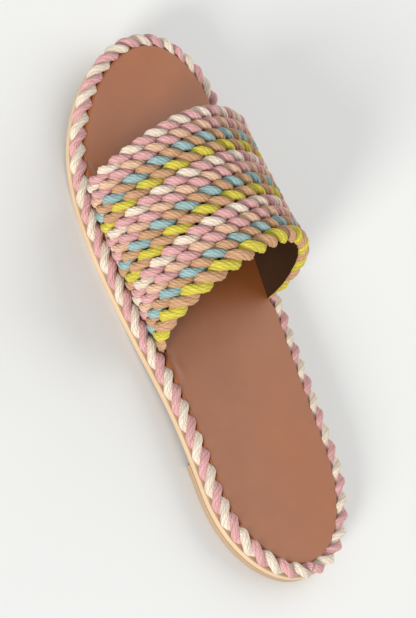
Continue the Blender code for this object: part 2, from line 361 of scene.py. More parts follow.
# Smooth calf, waxed: even colour, a fine tight grain and a soft shine.
insoleLeather = makeLeather("waxedCalf", ("#874A21", "#945429"), 0.55 * mm, 0.46, 0.10, 0.05 * mm)
# Split leather, dark brown: no shine and a coarse nap.
liningLeather = makeLeather("darkBrownSplit", ("#2A190E", "#3A2415"), 0.8 * mm, 0.85, 0.0, 0.10 * mm, 0.1)
# Vegetable tanned sole leather, left natural: pale, dense, slightly burnished.
soleLeather = makeLeather("soleLeather", ("#C1A483", "#CCB494"), 0.7 * mm, 0.55, 0.05, 0.05 * mm)
# The lift is the same leather as the sole; its darker, greyer colour is painted shade.
liftLeatherPaintedShade = makeLeather("liftLeatherPaintedShade", ("#A0866A", "#AB9379"), 0.7 * mm, 0.6, 0.0, 0.06 * mm)
print("materials are made")


# The shoe's own sizes, as in its solids

shoe = {
    "ballWidth": 0.0952,
    "heelRound": 0.052,
    "toeRound": 0.060,
    "clearance": 0.0003,
    "soleThickness": 0.0028,
    "toeSpring": 0.0118,
    "toeSpringStart": 0.70,
    "waistEnd": 0.56,
    "heelBreast": 0.064,
}
# along the length from the heel: the outline's middle and its width, in ball widths
outlineRows = (
    (0.00, -0.058, 0.805),
    (0.10, -0.060, 0.808),
    (0.22, -0.047, 0.808),
    (0.35, -0.035, 0.834),
    (0.50, -0.028, 0.917),
    (0.62, -0.022, 0.980),
    (0.72, -0.006, 1.000),
    (0.80, 0.022, 0.990),
    (0.90, 0.071, 0.998),
    (1.00, 0.100, 0.985),
)
soleLow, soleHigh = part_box("outsole")
liftLow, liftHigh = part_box("heel_lift")
shoeLength = soleHigh.y - soleLow.y
liftThickness = liftHigh.z - liftLow.z


def smoothstep(value):
    value = min(max(value, 0.0), 1.0)
    return value * value * (3 - 2 * value)


def between(start, end, share):
    return start + (end - start) * share


def through(rows, column, at):
    # a smooth curve through one column of a table
    last = len(rows) - 1
    at = min(max(at, rows[0][0]), rows[last][0])
    i = next(n for n in range(last) if at <= rows[n + 1][0])

    def slope(n):
        low, high = max(n - 1, 0), min(n + 1, last)
        return (rows[high][column] - rows[low][column]) / (rows[high][0] - rows[low][0])

    span = rows[i + 1][0] - rows[i][0]
    t = (at - rows[i][0]) / span
    start, end = rows[i][column], rows[i + 1][column]
    return (
        (2 * t**3 - 3 * t**2 + 1) * start
        + (t**3 - 2 * t**2 + t) * span * slope(i)
        + (3 * t**2 - 2 * t**3) * end
        + (t**3 - t**2) * span * slope(i + 1)
    )


def roundEnd(distance, length):
    left = 1 - min(max(distance / length, 0.0), 1.0)
    return math.sqrt(max(0.0, 1 - left * left))


def middleX(y):
    return shoe["ballWidth"] * through(outlineRows, 1, y / shoeLength)


def halfWidth(y):
    full = shoe["ballWidth"] * through(outlineRows, 2, y / shoeLength) / 2
    return full * roundEnd(y, shoe["heelRound"]) * roundEnd(shoeLength - y, shoe["toeRound"])


def edgeX(y, side):
    # side is -1 on the outer side of the foot and 1 on the inner side
    return middleX(y) + side * halfWidth(y)


def groundRise(y):
    # height of the sole's underside over the ground
    waist = shoe["waistEnd"] * shoeLength
    heel = (liftThickness + shoe["clearance"]) * smoothstep((waist - y) / (waist - shoe["heelBreast"]))
    start = shoe["toeSpringStart"]
    toe = max(0.0, (y / shoeLength - start) / (1 - start))
    return heel + shoe["toeSpring"] * toe**2


def soleTop(y):
    return groundRise(y) + shoe["soleThickness"]


def outward(y, side):
    # unit normal of the outline in plan, away from the foot
    if y <= 0 or y >= shoeLength:
        return Vector((0, -1 if y <= 0 else 1, 0))
    step = min(1e-5, y / 2, (shoeLength - y) / 2)
    run = Vector((edgeX(y + step, side) - edgeX(y - step, side), 2 * step, 0))
    return Vector((run.y, -run.x, 0)).normalized() * side


def outlineYs(stations):
    # even steps of an angle, so the round ends get as many points as the sides
    return [shoeLength * (1 - math.cos(math.pi * n / stations)) / 2 for n in range(stations + 1)]


outlineFine = 400  # steps, enough to find the box's side
outlineLeft = min(edgeX(y, -1) for y in outlineYs(outlineFine))
originShift = Vector((soleLow.x - outlineLeft, soleLow.y, 0))


def toFrame(point):
    # from the heel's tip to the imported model's own origin
    return Vector(point) + originShift


mergeDistance = 0.002 * mm
smoothDegrees = 40


def makeObject(name, points, faces, finish):
    mesh = bpy.data.meshes.new(name)
    mesh.from_pydata([tuple(toFrame(p)) for p in points], [], faces)
    cleaned = bmesh.new()
    cleaned.from_mesh(mesh)
    bmesh.ops.remove_doubles(cleaned, verts=cleaned.verts, dist=mergeDistance)
    cleaned.to_mesh(mesh)
    cleaned.free()
    mesh.materials.append(finish)
    mesh.shade_smooth()
    mesh.set_sharp_from_angle(angle=math.radians(smoothDegrees))
    made = bpy.data.objects.new(name, mesh)
    bpy.context.scene.collection.objects.link(made)
    return made


# The flat pieces of the sole

spineShare = 0.8  # of the round ends: there the line starts and ends where the flat faces' rows meet
spineStart = shoe["heelRound"] * spineShare
spineEnd = shoeLength - shoe["toeRound"] * spineShare
fanPower = 1.4  # more draws the rows closer to the rim, where the small puckers are
edgeTurns = (0, 30, 60, 90)  # degrees round a cut leather edge


def outlineWalk(ys):
    # once round the outline, seen from above against the clock: inner side to the toe, outer side back
    return [(y, 1) for y in ys[:-1]] + [(y, -1) for y in ys[:0:-1]]


def plateRing(ys, insetAt, heightAt):
    # heightAt gets the place and the y of the outline there, which the sole's bend follows
    ring = []
    for y, side in outlineWalk(ys):
        p = Vector((edgeX(y, side), y, 0)) - outward(y, side) * insetAt(y, side)
        ring.append(Vector((p.x, p.y, heightAt(p.x, p.y, y))))
    return ring


def plate(name, ys, edgeRows, bottomAt, topAt, fanRows, finish):
    # edgeRows: (inset function, height function) from the underside's rim round to the top's rim
    rings = [plateRing(ys, insetAt, heightAt) for insetAt, heightAt in edgeRows]
    rim, crown = rings[0], rings[-1]

    def fan(ring, heightAt, shares):
        # rows from the rim in to the middle line; the two sides' last rows lie on one curve there
        # but not point on point, so they aren't merged
        made = []
        for share in shares:
            row = []
            for p, (y, _) in zip(ring, outlineWalk(ys)):
                spineY = min(max(p.y, spineStart), spineEnd)
                q = Vector((p.x, p.y, 0)).lerp(Vector((middleX(spineY), spineY, 0)), share)
                row.append(Vector((q.x, q.y, heightAt(q.x, q.y, between(y, spineY, share)))))
            made.append(row)
        return made

    shares = [((n + 1) / fanRows) ** fanPower for n in range(fanRows)]
    rings = list(reversed(fan(rim, bottomAt, shares))) + rings + fan(crown, topAt, shares)
    count = len(rim)
    points = [p for ring in rings for p in ring]
    faces = []
    for level in range(len(rings) - 1):
        low, high = level * count, (level + 1) * count
        for i in range(count):
            j = (i + 1) % count
            faces.append((low + i, low + j, high + j, high + i))
    return makeObject(name, points, faces, finish)


outsole = {"stations": 150, "edgeRound": 0.5 * mm, "fanRows": 14}


def makeOutsole():
    edge = outsole["edgeRound"]
    rows = []
    for turn in edgeTurns:
        a = math.radians(turn)
        rows.append(
            (
                lambda y, side, a=a: edge * (1 - math.sin(a)),
                lambda x, y, along, a=a: groundRise(along) + edge * (1 - math.cos(a)),
            )
        )
    for turn in edgeTurns:
        a = math.radians(turn)
        rows.append(
            (
                lambda y, side, a=a: edge * (1 - math.cos(a)),
                lambda x, y, along, a=a: soleTop(along) - edge * (1 - math.sin(a)),
            )
        )
    made = plate(
        "soleLeatherOutsole",
        outlineYs(outsole["stations"]),
        rows,
        lambda x, y, along: groundRise(along),
        lambda x, y, along: soleTop(along),
        outsole["fanRows"],
        soleLeather,
    )
    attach(made, "root")
    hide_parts("outsole")


lift = {"inset": 0.2 * mm, "edgeRound": 0.5 * mm, "topBevel": 0.1 * mm, "stations": 60}


def makeHeelLift():
    breast = shoe["heelBreast"]
    inset, edge, bevel = lift["inset"], lift["edgeRound"], lift["topBevel"]
    half = lift["stations"]
    ys = [breast * (1 - math.cos(math.pi / 2 * n / half)) for n in range(half + 1)]
    sides = [(y, 1) for y in ys] + [(y, -1) for y in reversed(ys[1:])]

    def ring(extra, height):
        made = []
        for y, side in sides:
            p = Vector((edgeX(y, side), y, 0)) - outward(y, side) * (inset + extra)
            made.append(Vector((p.x, min(p.y, breast - extra), height)))
        return made

    steps = [math.radians(turn) for turn in edgeTurns]
    rings = [ring(edge * (1 - math.sin(a)), edge * (1 - math.cos(a))) for a in steps]
    rings += [ring(0, liftThickness - bevel), ring(bevel, liftThickness)]
    count = len(sides)
    points = [p for r in rings for p in r]
    faces = []
    for level in range(len(rings) - 1):
        low, high = level * count, (level + 1) * count
        for i in range(count):
            j = (i + 1) % count
            faces.append((low + i, low + j, high + j, high + i))
    for first, upwards in ((0, False), (len(points) - count, True)):
        for i in range(half):
            a, b = first + i, first + i + 1
            c, d = first + (count - i - 1) % count, first + (count - i) % count
            face = (a, b, c) if a == d else (a, b, c, d)
            faces.append(face if upwards else face[::-1])
    # the lift's finish is the sole leather darkened as painted shade
    made = makeObject("stackedHeelLift", points, faces, liftLeatherPaintedShade)
    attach(made, "root")
    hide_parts("heel_lift")


# The strap's sizes, which the insole's notch follows too

strap = {
    "ropes": 12,
    "diameter": 6.65 * mm,
    "spread": 0.35 * mm,
    "edgeGrowth": 1.12,  # the rear rope is thicker
    "endWall": 2.8 * mm,  # 0.4 mm under its solid
    "pressOut": 1.0 * mm,  # how far the ends press into the border rope
    "liningDepth": 2.4 * mm,  # the lining's inner face under the ropes' middles
    "tuck": 0.7 * mm,
    "rise": 54.6 * mm,
    "lean": 16.8 * mm,
    "shift": 4.2 * mm,
    "outerSwell": 8.4 * mm,  # both swells 0.7 mm under the solid's
    "innerSwell": 6.7 * mm,
    "lateralEnd": 0.744,
    "medialEnd": 0.774,
    "outerDroop": 1.6 * mm,  # of the rear rope's outer end, towards the heel
    "innerDroop": -3.0 * mm,  # its inner end is drawn forwards
    "swellPower": 0.8,
    "fullLevel": 0.30,
}
# the front and rear ropes' arches, as shares of the sizes above, and their powers
strapEdges = {
    "rise": (0.676, 1.0),
    "lean": (0.62, 1.0),
    "shift": (0.62, 1.0),
    "outerSwell": (0.82, 1.0),
    "innerSwell": (0.81, 1.0),
    "archPower": (0.98, 0.78),
    "leanPower": (1.8, 0.95),
}
borderRope = {
    "diameter": 6.4 * mm,
    "turns": 37,  # and one more, which its lay adds
}
# the border rope is laid by hand, so its twist runs ahead or behind, and gains one turn in all:
# share of its length from the heel's tip up the inner side, and degrees
borderLay = ((0.0, 262), (0.2, 250), (0.38, 240), (0.5, 395), (0.6, 505), (0.8, 550), (1.0, 622))
strapSpan = (strap["ropes"] - 1) * (strap["diameter"] + strap["spread"])
strapInset = borderRope["diameter"] + shoe["clearance"] + strap["endWall"] / 2 - strap["pressOut"]
strapBaseHeight = shoe["clearance"] + borderRope["diameter"] - strap["tuck"]


def strapEndY(across, side):
    front = strap["medialEnd"] if side > 0 else strap["lateralEnd"]
    droop = strap["innerDroop"] if side > 0 else strap["outerDroop"]
    return front * shoeLength - across * strapSpan - droop * max(across, 0.0) ** 4


def ropeGrowth(across):
    return between(1, strap["edgeGrowth"], smoothstep((across - 1) * (strap["ropes"] - 1) + 1))


def strapMiddle(across, angle):
    # the wall's middle: across is 0 at the front rope and 1 at the rear one, and angle runs
    # from 0 at the outer end over the crown to pi at the inner end
    def edge(name):
        return between(*strapEdges[name], across)

    swing = math.cos(angle)
    level = max(0.0, math.sin(angle)) ** edge("archPower")
    share = 0.5 * (1 - math.copysign(abs(swing) ** edge("archPower"), swing))
    ends = []
    for side in (-1, 1):
        y = strapEndY(across, side)
        base = Vector((edgeX(y, side), y, 0)) - outward(y, side) * strapInset
        ends.append(Vector((base.x, base.y, soleTop(y) + strapBaseHeight)))
    point = ends[0].lerp(ends[1], share)
    point.x -= level * strap["shift"] * edge("shift")
    point.y += level ** edge("leanPower") * strap["lean"] * edge("lean")
    point.z += level * strap["rise"] * edge("rise")
    swell = math.sin(math.pi * level ** strap["swellPower"]) * math.sqrt(abs(2 * share - 1))
    if share > 0.5:
        point.x += swell * strap["innerSwell"] * edge("innerSwell")
    else:
        point.x -= swell * strap["outerSwell"] * edge("outerSwell")
    return point


def strapNormal(across, angle):
    # away from the foot, square to the wall
    step = 0.01
    low, high = max(angle - step, 0.0), min(angle + step, math.pi)
    along = strapMiddle(across, high) - strapMiddle(across, low)
    back = strapMiddle(across + step, angle) - strapMiddle(across - step, angle)
    return back.cross(along).normalized()


# The insole

insole = {
    "thickness": 5.7 * mm,  # 0.6 mm under its solid, as the rope shades its edge
    "edgeRadius": 1.1 * mm,
    "footRound": 0.4 * mm,
    "stations": 170,
    "edgeSteps": 8,
    "fanRows": 26,
    "dish": 0.9 * mm,
    "tuck": 1.6 * mm,  # how far its edge swells into the border rope
    "notchMargin": 0.2 * mm,
    "notchRamp": 2.6 * mm,
}
notchDepth = strap["endWall"] + shoe["clearance"] - strap["pressOut"]
# where the foot rests: share of the shoe's length, reach along and across in mm, share of the dish
insoleDishes = (
    (0.17, 46, 27, 1.0),
    (0.74, 44, 33, 0.8),
)
# soft troughs and ridges, in mm: x and y from the heel's tip, direction in degrees, length, width
# and height
insoleCreases = (
    (0.8, 176, 84, 34, 9.0, -0.22),
    (-1.5, 187, 96, 40, 10.0, 0.16),
    (-4.0, 150, 88, 30, 9.0, -0.14),
    (-6.0, 118, 6, 46, 12.0, -0.16),
    # puckers where the leather is pulled down beside the strap's outer end
    (-38.0, 204, 98, 9, 3.0, 0.45),
    (-35.5, 203, 80, 7, 3.0, -0.30),
    (-36.0, 107, 92, 11, 3.0, 0.50),
    (-33.2, 109, 100, 9, 3.4, -0.30),
)


def notchSpan(side):
    rear = strapEndY(1, side) - strap["diameter"] / 2 * strap["edgeGrowth"] - insole["notchMargin"]
    front = strapEndY(0, side) + strap["diameter"] / 2 + insole["notchMargin"]
    return rear, front


def insoleInset(y, side):
    low, high = notchSpan(side)
    ramp = insole["notchRamp"]
    notch = min(smoothstep((y - low) / ramp + 1), smoothstep((high - y) / ramp + 1))
    return borderRope["diameter"] + shoe["clearance"] - insole["tuck"] + notchDepth * notch


def insoleRelief(x, y):
    # the foot's dish at the heel and the ball, then the creases
    height = 0.0
    for at, long, wide, depth in insoleDishes:
        u = (y - at * shoeLength) / (long * mm)
        v = (x - middleX(at * shoeLength)) / (wide * mm)
        height -= insole["dish"] * depth * math.exp(-(u * u + v * v))
    for creaseX, creaseY, degrees, length, width, rise in insoleCreases:
        a = math.radians(degrees)
        dx, dy = x - creaseX * mm, y - creaseY * mm
        u = (dx * math.cos(a) + dy * math.sin(a)) / (length / 2 * mm)
        v = (dy * math.cos(a) - dx * math.sin(a)) / (width / 2 * mm)
        height += rise * mm * math.exp(-(u**4) - v * v)
    return height


def makeInsole():
    radius = insole["edgeRadius"]
    gap = shoe["clearance"]

    def topAt(x, y, along):
        return soleTop(along) + gap + insole["thickness"] + insoleRelief(x, y)

    foot = insole["footRound"]
    rows = [
        (lambda y, side: insoleInset(y, side) + foot, lambda x, y, along: soleTop(along) + gap),
        (insoleInset, lambda x, y, along: soleTop(along) + gap + foot),
    ]
    for step in range(insole["edgeSteps"] + 1):
        a = math.pi / 2 * step / insole["edgeSteps"]
        inwards = radius * (1 - math.cos(a))
        drop = radius * (1 - math.sin(a))
        rows.append(
            (
                lambda y, side, inwards=inwards: insoleInset(y, side) + inwards,
                lambda x, y, along, drop=drop: topAt(x, y, along) - drop,
            )
        )
    made = plate(
        "waxedCalfInsole",
        outlineYs(insole["stations"]),
        rows,
        lambda x, y, along: soleTop(along) + gap,
        topAt,
        insole["fanRows"],
        insoleLeather,
    )
    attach(made, "root")
    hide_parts("insole")


makeOutsole()
makeHeelLift()
makeInsole()
print("sole pieces are made")


# Rope: two strands laid round each other, each of a few soft yarns

ropeMake = {
    "stationsPerTurn": 24,
    "sides": 30,
    "yarns": 6,
    "yarnDepth": 0.30 * mm,
    "yarnTurns": -0.5,  # of a strand's yarns about it, for each turn of the rope
    "centreShare": 0.40,  # a strand's middle from the rope's middle, in rope radii
    "strandShare": 0.635,  # a strand's radius, in rope radii
    "strandWidth": 1.32,  # sideways, over its own radius
    "unevenness": 0.045,
    "lumpLength": 6 * mm,
    "backPress": 0.12,  # what is left of a strand's depth past the lining
}
# the border rope is laid looser, of smoother yarns that turn less
borderMake = dict(ropeMake)
borderMake.update(
    centreShare=0.42,
    strandShare=0.61,
    strandWidth=1.34,
    yarnDepth=0.12 * mm,
    yarnTurns=-0.25,
)
borderFine = {
    "outlineSteps": 700,
    "outwards": 0.5 * mm,
    "seed": 3,
}
strandSeedStep = 40.0  # between the noise of a rope's two strands
ropeSeedShift = 0.5  # metres along the strand's pattern, from one seed to the next


def ropeTree():
    # the path is a line of points that carry their own frame, see ropeFromRows
    tree = bpy.data.node_groups.new("layTwoStrandRope", "GeometryNodeTree")
    for name, kind in (
        ("Path", "NodeSocketGeometry"),
        ("Centre radius", "NodeSocketFloat"),
        ("Strand radius", "NodeSocketFloat"),
        ("Strand width", "NodeSocketFloat"),
        ("Sides", "NodeSocketInt"),
        ("Yarns", "NodeSocketFloat"),
        ("Yarn depth", "NodeSocketFloat"),
        ("Yarn twist", "NodeSocketFloat"),
        ("Unevenness", "NodeSocketFloat"),
        ("Back press", "NodeSocketFloat"),
        ("Seed", "NodeSocketFloat"),
        ("First strand", "NodeSocketMaterial"),
        ("Second strand", "NodeSocketMaterial"),
    ):
        tree.interface.new_socket(name=name, in_out="INPUT", socket_type=kind)
    tree.interface.new_socket(name="Rope", in_out="OUTPUT", socket_type="NodeSocketGeometry")
    given = addNode(tree, "NodeGroupInput").outputs
    line = addNode(tree, "GeometryNodeMeshToCurve", None, {"Mesh": given["Path"]})

    def carried(name, kind):
        return addNode(
            tree, "GeometryNodeInputNamedAttribute", {"data_type": kind}, {"Name": name}
        ).outputs["Attribute"]

    outwards, sideways = carried("outwards", "FLOAT_VECTOR"), carried("sideways", "FLOAT_VECTOR")
    home = carried("home", "FLOAT_VECTOR")
    twist, along = carried("twist", "FLOAT"), carried("along", "FLOAT")

    ring = addNode(
        tree,
        "GeometryNodeCurvePrimitiveCircle",
        {"mode": "RADIUS"},
        {"Resolution": given["Sides"], "Radius": 1.0},
    )
    flatten = addNode(tree, "ShaderNodeCombineXYZ", None, {"X": given["Strand width"], "Y": 1.0, "Z": 1.0})
    oval = addNode(
        tree, "GeometryNodeTransform", None, {"Geometry": ring.outputs["Curve"], "Scale": flatten}
    )
    factor = addNode(tree, "GeometryNodeSplineParameter").outputs["Factor"]
    turn = addNode(tree, "ShaderNodeMath", {"operation": "MULTIPLY"}, {0: factor, 1: math.tau})
    profile = addNode(tree, "GeometryNodeCaptureAttribute", None, {"Geometry": oval})
    profile.capture_items.new("FLOAT", "around")
    tree.links.new(turn.outputs[0], profile.inputs["around"])
    around = profile.outputs["around"]

    strands = []
    for strand, finish in enumerate(("First strand", "Second strand")):
        angle = addNode(tree, "ShaderNodeMath", {"operation": "ADD"}, {0: twist, 1: math.pi * strand})
        cosine = addNode(tree, "ShaderNodeMath", {"operation": "COSINE"}, {0: angle})
        sine = addNode(tree, "ShaderNodeMath", {"operation": "SINE"}, {0: angle})
        outPart = addNode(
            tree, "ShaderNodeVectorMath", {"operation": "SCALE"}, {0: outwards, "Scale": cosine}
        )
        sidePart = addNode(
            tree, "ShaderNodeVectorMath", {"operation": "SCALE"}, {0: sideways, "Scale": sine}
        )
        radial = addNode(tree, "ShaderNodeVectorMath", {"operation": "ADD"}, {0: outPart, 1: sidePart})
        offset = addNode(
            tree,
            "ShaderNodeVectorMath",
            {"operation": "SCALE"},
            {0: radial, "Scale": given["Centre radius"]},
        )
        helix = addNode(tree, "GeometryNodeSetPosition", None, {"Geometry": line, "Offset": offset})
        faced = addNode(
            tree, "GeometryNodeSetCurveNormal", {"mode": "FREE"}, {"Curve": helix, "Normal": radial}
        )
        seeded = addNode(
            tree,
            "ShaderNodeMath",
            {"operation": "MULTIPLY_ADD"},
            {0: along, 1: 1 / ropeMake["lumpLength"], 2: given["Seed"]},
        )
        ownNoise = addNode(
            tree, "ShaderNodeMath", {"operation": "ADD"}, {0: seeded, 1: strandSeedStep * strand}
        )
        lumps = addNode(
            tree,
            "ShaderNodeTexNoise",
            {"noise_dimensions": "1D"},
            {"W": ownNoise, "Scale": 1.0, "Detail": 1.0},
        )
        thinnest = addNode(
            tree, "ShaderNodeMath", {"operation": "SUBTRACT"}, {0: 1.0, 1: given["Unevenness"]}
        )
        thickest = addNode(tree, "ShaderNodeMath", {"operation": "ADD"}, {0: 1.0, 1: given["Unevenness"]})
        uneven = addNode(
            tree,
            "ShaderNodeMapRange",
            None,
            {
                "Value": lumps.outputs["Fac"],
                "From Min": 0.25,
                "From Max": 0.75,
                "To Min": thinnest,
                "To Max": thickest,
            },
        )
        thickness = addNode(
            tree,
            "ShaderNodeMath",
            {"operation": "MULTIPLY"},
            {0: given["Strand radius"], 1: uneven.outputs["Result"]},
        )
        body = addNode(
            tree,
            "GeometryNodeCurveToMesh",
            None,
            {
                "Curve": faced,
                "Profile Curve": profile.outputs["Geometry"],
                "Scale": thickness,
                "Fill Caps": True,
            },
        )
        # yarns: rounded ridges, one for each half turn of the wave, that wind slowly about the strand
        wind = addNode(
            tree,
            "ShaderNodeMath",
            {"operation": "MULTIPLY_ADD"},
            {0: along, 1: given["Yarn twist"], 2: around},
        )
        lobes = addNode(tree, "ShaderNodeMath", {"operation": "MULTIPLY"}, {0: wind, 1: given["Yarns"]})
        halved = addNode(tree, "ShaderNodeMath", {"operation": "MULTIPLY"}, {0: lobes, 1: 0.5})
        wave = addNode(tree, "ShaderNodeMath", {"operation": "COSINE"}, {0: halved})
        ridge = addNode(tree, "ShaderNodeMath", {"operation": "ABSOLUTE"}, {0: wave})
        sunk = addNode(tree, "ShaderNodeMath", {"operation": "SUBTRACT"}, {0: ridge, 1: 1.0})
        depth = addNode(
            tree, "ShaderNodeMath", {"operation": "MULTIPLY"}, {0: sunk, 1: given["Yarn depth"]}
        )
        surface = addNode(tree, "GeometryNodeInputNormal")
        groove = addNode(
            tree,
            "ShaderNodeVectorMath",
            {"operation": "SCALE"},
            {0: surface.outputs["Normal"], "Scale": depth},
        )
        grooved = addNode(tree, "GeometryNodeSetPosition", None, {"Geometry": body, "Offset": groove})
        # the strand laid out straight, for its fibres
        aroundCos = addNode(tree, "ShaderNodeMath", {"operation": "COSINE"}, {0: wind})
        aroundSin = addNode(tree, "ShaderNodeMath", {"operation": "SINE"}, {0: wind})
        straightX = addNode(
            tree, "ShaderNodeMath", {"operation": "MULTIPLY"}, {0: aroundCos, 1: given["Strand radius"]}
        )
        straightY = addNode(
            tree, "ShaderNodeMath", {"operation": "MULTIPLY"}, {0: aroundSin, 1: given["Strand radius"]}
        )
        apart = addNode(
            tree,
            "ShaderNodeMath",
            {"operation": "MULTIPLY_ADD"},
            {0: given["Seed"], 1: ropeSeedShift, 2: along},
        )
        straight = addNode(tree, "ShaderNodeCombineXYZ", None, {"X": straightX, "Y": straightY, "Z": apart})
        stored = addNode(
            tree,
            "GeometryNodeStoreNamedAttribute",
            {"data_type": "FLOAT_VECTOR", "domain": "POINT"},
            {"Geometry": grooved, "Name": "strandPlace", "Value": straight},
        )
        grooves = addNode(
            tree,
            "GeometryNodeStoreNamedAttribute",
            {"data_type": "FLOAT", "domain": "POINT"},
            {"Geometry": stored, "Name": "yarnRidge", "Value": ridge},
        )
        strands.append(
            addNode(tree, "GeometryNodeSetMaterial", None, {"Geometry": grooves, "Material": given[finish]})
        )

    both = addNode(tree, "GeometryNodeJoinGeometry")
    for strand in reversed(strands):
        tree.links.new(strand.outputs[0], both.inputs[0])

    # pressed against the lining at the back, squeezed at the ends, and spread to its neighbours
    place = addNode(tree, "GeometryNodeInputPosition")
    local = addNode(tree, "ShaderNodeVectorMath", {"operation": "SUBTRACT"}, {0: place, 1: home})
    outBy = addNode(tree, "ShaderNodeVectorMath", {"operation": "DOT_PRODUCT"}, {0: local, 1: outwards})
    sideBy = addNode(tree, "ShaderNodeVectorMath", {"operation": "DOT_PRODUCT"}, {0: local, 1: sideways})
    out, side = outBy.outputs["Value"], sideBy.outputs["Value"]
    below = addNode(
        tree, "ShaderNodeMath", {"operation": "ADD"}, {0: out, 1: carried("backDepth", "FLOAT")}
    )
    past = addNode(tree, "ShaderNodeMath", {"operation": "MINIMUM"}, {0: below, 1: 0.0})
    lessen = addNode(tree, "ShaderNodeMath", {"operation": "SUBTRACT"}, {0: given["Back press"], 1: 1.0})
    pressed = addNode(tree, "ShaderNodeMath", {"operation": "MULTIPLY_ADD"}, {0: past, 1: lessen, 2: out})
    front = addNode(tree, "ShaderNodeMath", {"operation": "MAXIMUM"}, {0: pressed, 1: 0.0})
    frontLess = addNode(
        tree, "ShaderNodeMath", {"operation": "SUBTRACT"}, {0: carried("squeeze", "FLOAT"), 1: 1.0}
    )
    settled = addNode(
        tree, "ShaderNodeMath", {"operation": "MULTIPLY_ADD"}, {0: front, 1: frontLess, 2: pressed}
    )
    outMove = addNode(tree, "ShaderNodeMath", {"operation": "SUBTRACT"}, {0: settled, 1: out})
    sideLess = addNode(
        tree, "ShaderNodeMath", {"operation": "SUBTRACT"}, {0: carried("widen", "FLOAT"), 1: 1.0}
    )
    sideMove = addNode(tree, "ShaderNodeMath", {"operation": "MULTIPLY"}, {0: side, 1: sideLess})
    outShift = addNode(
        tree, "ShaderNodeVectorMath", {"operation": "SCALE"}, {0: outwards, "Scale": outMove}
    )
    sideShift = addNode(
        tree, "ShaderNodeVectorMath", {"operation": "SCALE"}, {0: sideways, "Scale": sideMove}
    )
    shift = addNode(tree, "ShaderNodeVectorMath", {"operation": "ADD"}, {0: outShift, 1: sideShift})
    fitted = addNode(tree, "GeometryNodeSetPosition", None, {"Geometry": both, "Offset": shift})
    smooth = addNode(tree, "GeometryNodeSetShadeSmooth", None, {"Geometry": fitted})
    plain = addNode(tree, "GeometryNodeRealizeInstances", None, {"Geometry": smooth})
    addNode(tree, "NodeGroupOutput", None, {"Rope": plain})
    return tree


ropeLayer = ropeTree()
rowKinds = {
    "home": "FLOAT_VECTOR",
    "outwards": "FLOAT_VECTOR",
    "sideways": "FLOAT_VECTOR",
    "twist": "FLOAT",
    "along": "FLOAT",
    "backDepth": "FLOAT",
    "squeeze": "FLOAT",
    "widen": "FLOAT",
}


def ropeFromRows(name, rows, closed, make, radius, pitch, colours, seed):
    # each row is a station of the rope: its place, its frame and how it is pressed
    mesh = bpy.data.meshes.new(name)
    edges = [(n, n + 1) for n in range(len(rows) - 1)]
    if closed:
        edges.append((len(rows) - 1, 0))
    mesh.from_pydata([tuple(row["home"]) for row in rows], edges, [])
    for key, kind in rowKinds.items():
        layer = mesh.attributes.new(key, kind, "POINT")
        if kind == "FLOAT_VECTOR":
            layer.data.foreach_set("vector", [c for row in rows for c in row[key]])
        else:
            layer.data.foreach_set("value", [row[key] for row in rows])
    made = bpy.data.objects.new(name, mesh)
    bpy.context.scene.collection.objects.link(made)
    modifier = made.modifiers.new("lay", "NODES")
    modifier.node_group = ropeLayer
    settings = {
        "Centre radius": make["centreShare"] * radius,
        "Strand radius": make["strandShare"] * radius,
        "Strand width": make["strandWidth"],
        "Sides": make["sides"],
        "Yarns": float(make["yarns"]),
        "Yarn depth": make["yarnDepth"],
        "Yarn twist": make["yarnTurns"] * math.tau / pitch,
        "Unevenness": make["unevenness"],
        "Back press": make["backPress"],
        "Seed": float(seed),
        "First strand": yarns[colours[0]],
        "Second strand": yarns[colours[1]],
    }
    for item in ropeLayer.interface.items_tree:
        if item.in_out == "INPUT" and item.name in settings:
            modifier[item.identifier] = settings[item.name]
    graph = bpy.context.evaluated_depsgraph_get()
    plain = bpy.data.meshes.new_from_object(made.evaluated_get(graph), depsgraph=graph)
    made.modifiers.remove(modifier)
    made.data = plain
    plain.name = name
    bpy.data.meshes.remove(mesh)
    for key in rowKinds:
        if key in plain.attributes:
            plain.attributes.remove(plain.attributes[key])
    return made


def lengths(points, closed=False):
    # distance along a line at each of its points, and its whole length
    run = [0.0]
    for n in range(1, len(points) + (1 if closed else 0)):
        run.append(run[-1] + (points[n % len(points)] - points[n - 1]).length)
    return run


def makeBorderRope():
    radius = borderRope["diameter"] / 2
    loop = plateRing(
        outlineYs(borderFine["outlineSteps"]),
        lambda y, side: radius - borderFine["outwards"],
        lambda x, y, along: soleTop(along) + shoe["clearance"] + radius,
    )
    run = lengths(loop, closed=True)
    turns = borderRope["turns"]
    count = (turns + 1) * ropeMake["stationsPerTurn"]
    homes = []
    n = 0
    for k in range(count):
        target = run[-1] * k / count
        while run[n + 1] < target:
            n += 1
        share = (target - run[n]) / (run[n + 1] - run[n])
        homes.append(toFrame(loop[n].lerp(loop[(n + 1) % len(loop)], share)))
    rows = []
    for k, home in enumerate(homes):
        forward = (homes[(k + 1) % count] - homes[k - 1]).normalized()
        out = Vector((forward.y, -forward.x, 0)).normalized()
        rows.append(
            {
                "home": home,
                "outwards": out,
                "sideways": forward.cross(out).normalized(),
                "twist": math.tau * turns * k / count + math.radians(through(borderLay, 1, k / count)),
                "along": run[-1] * k / count,
                "backDepth": 1.0,  # a metre, so nothing is pressed
                "squeeze": 1.0,
                "widen": 1.0,
            }
        )
    made = ropeFromRows(
        "twistedBorderRope",
        rows,
        True,
        borderMake,
        radius,
        run[-1] / turns,
        ("pink", "cream"),
        borderFine["seed"],
    )
    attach(made, "root")
    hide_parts("border_rope")


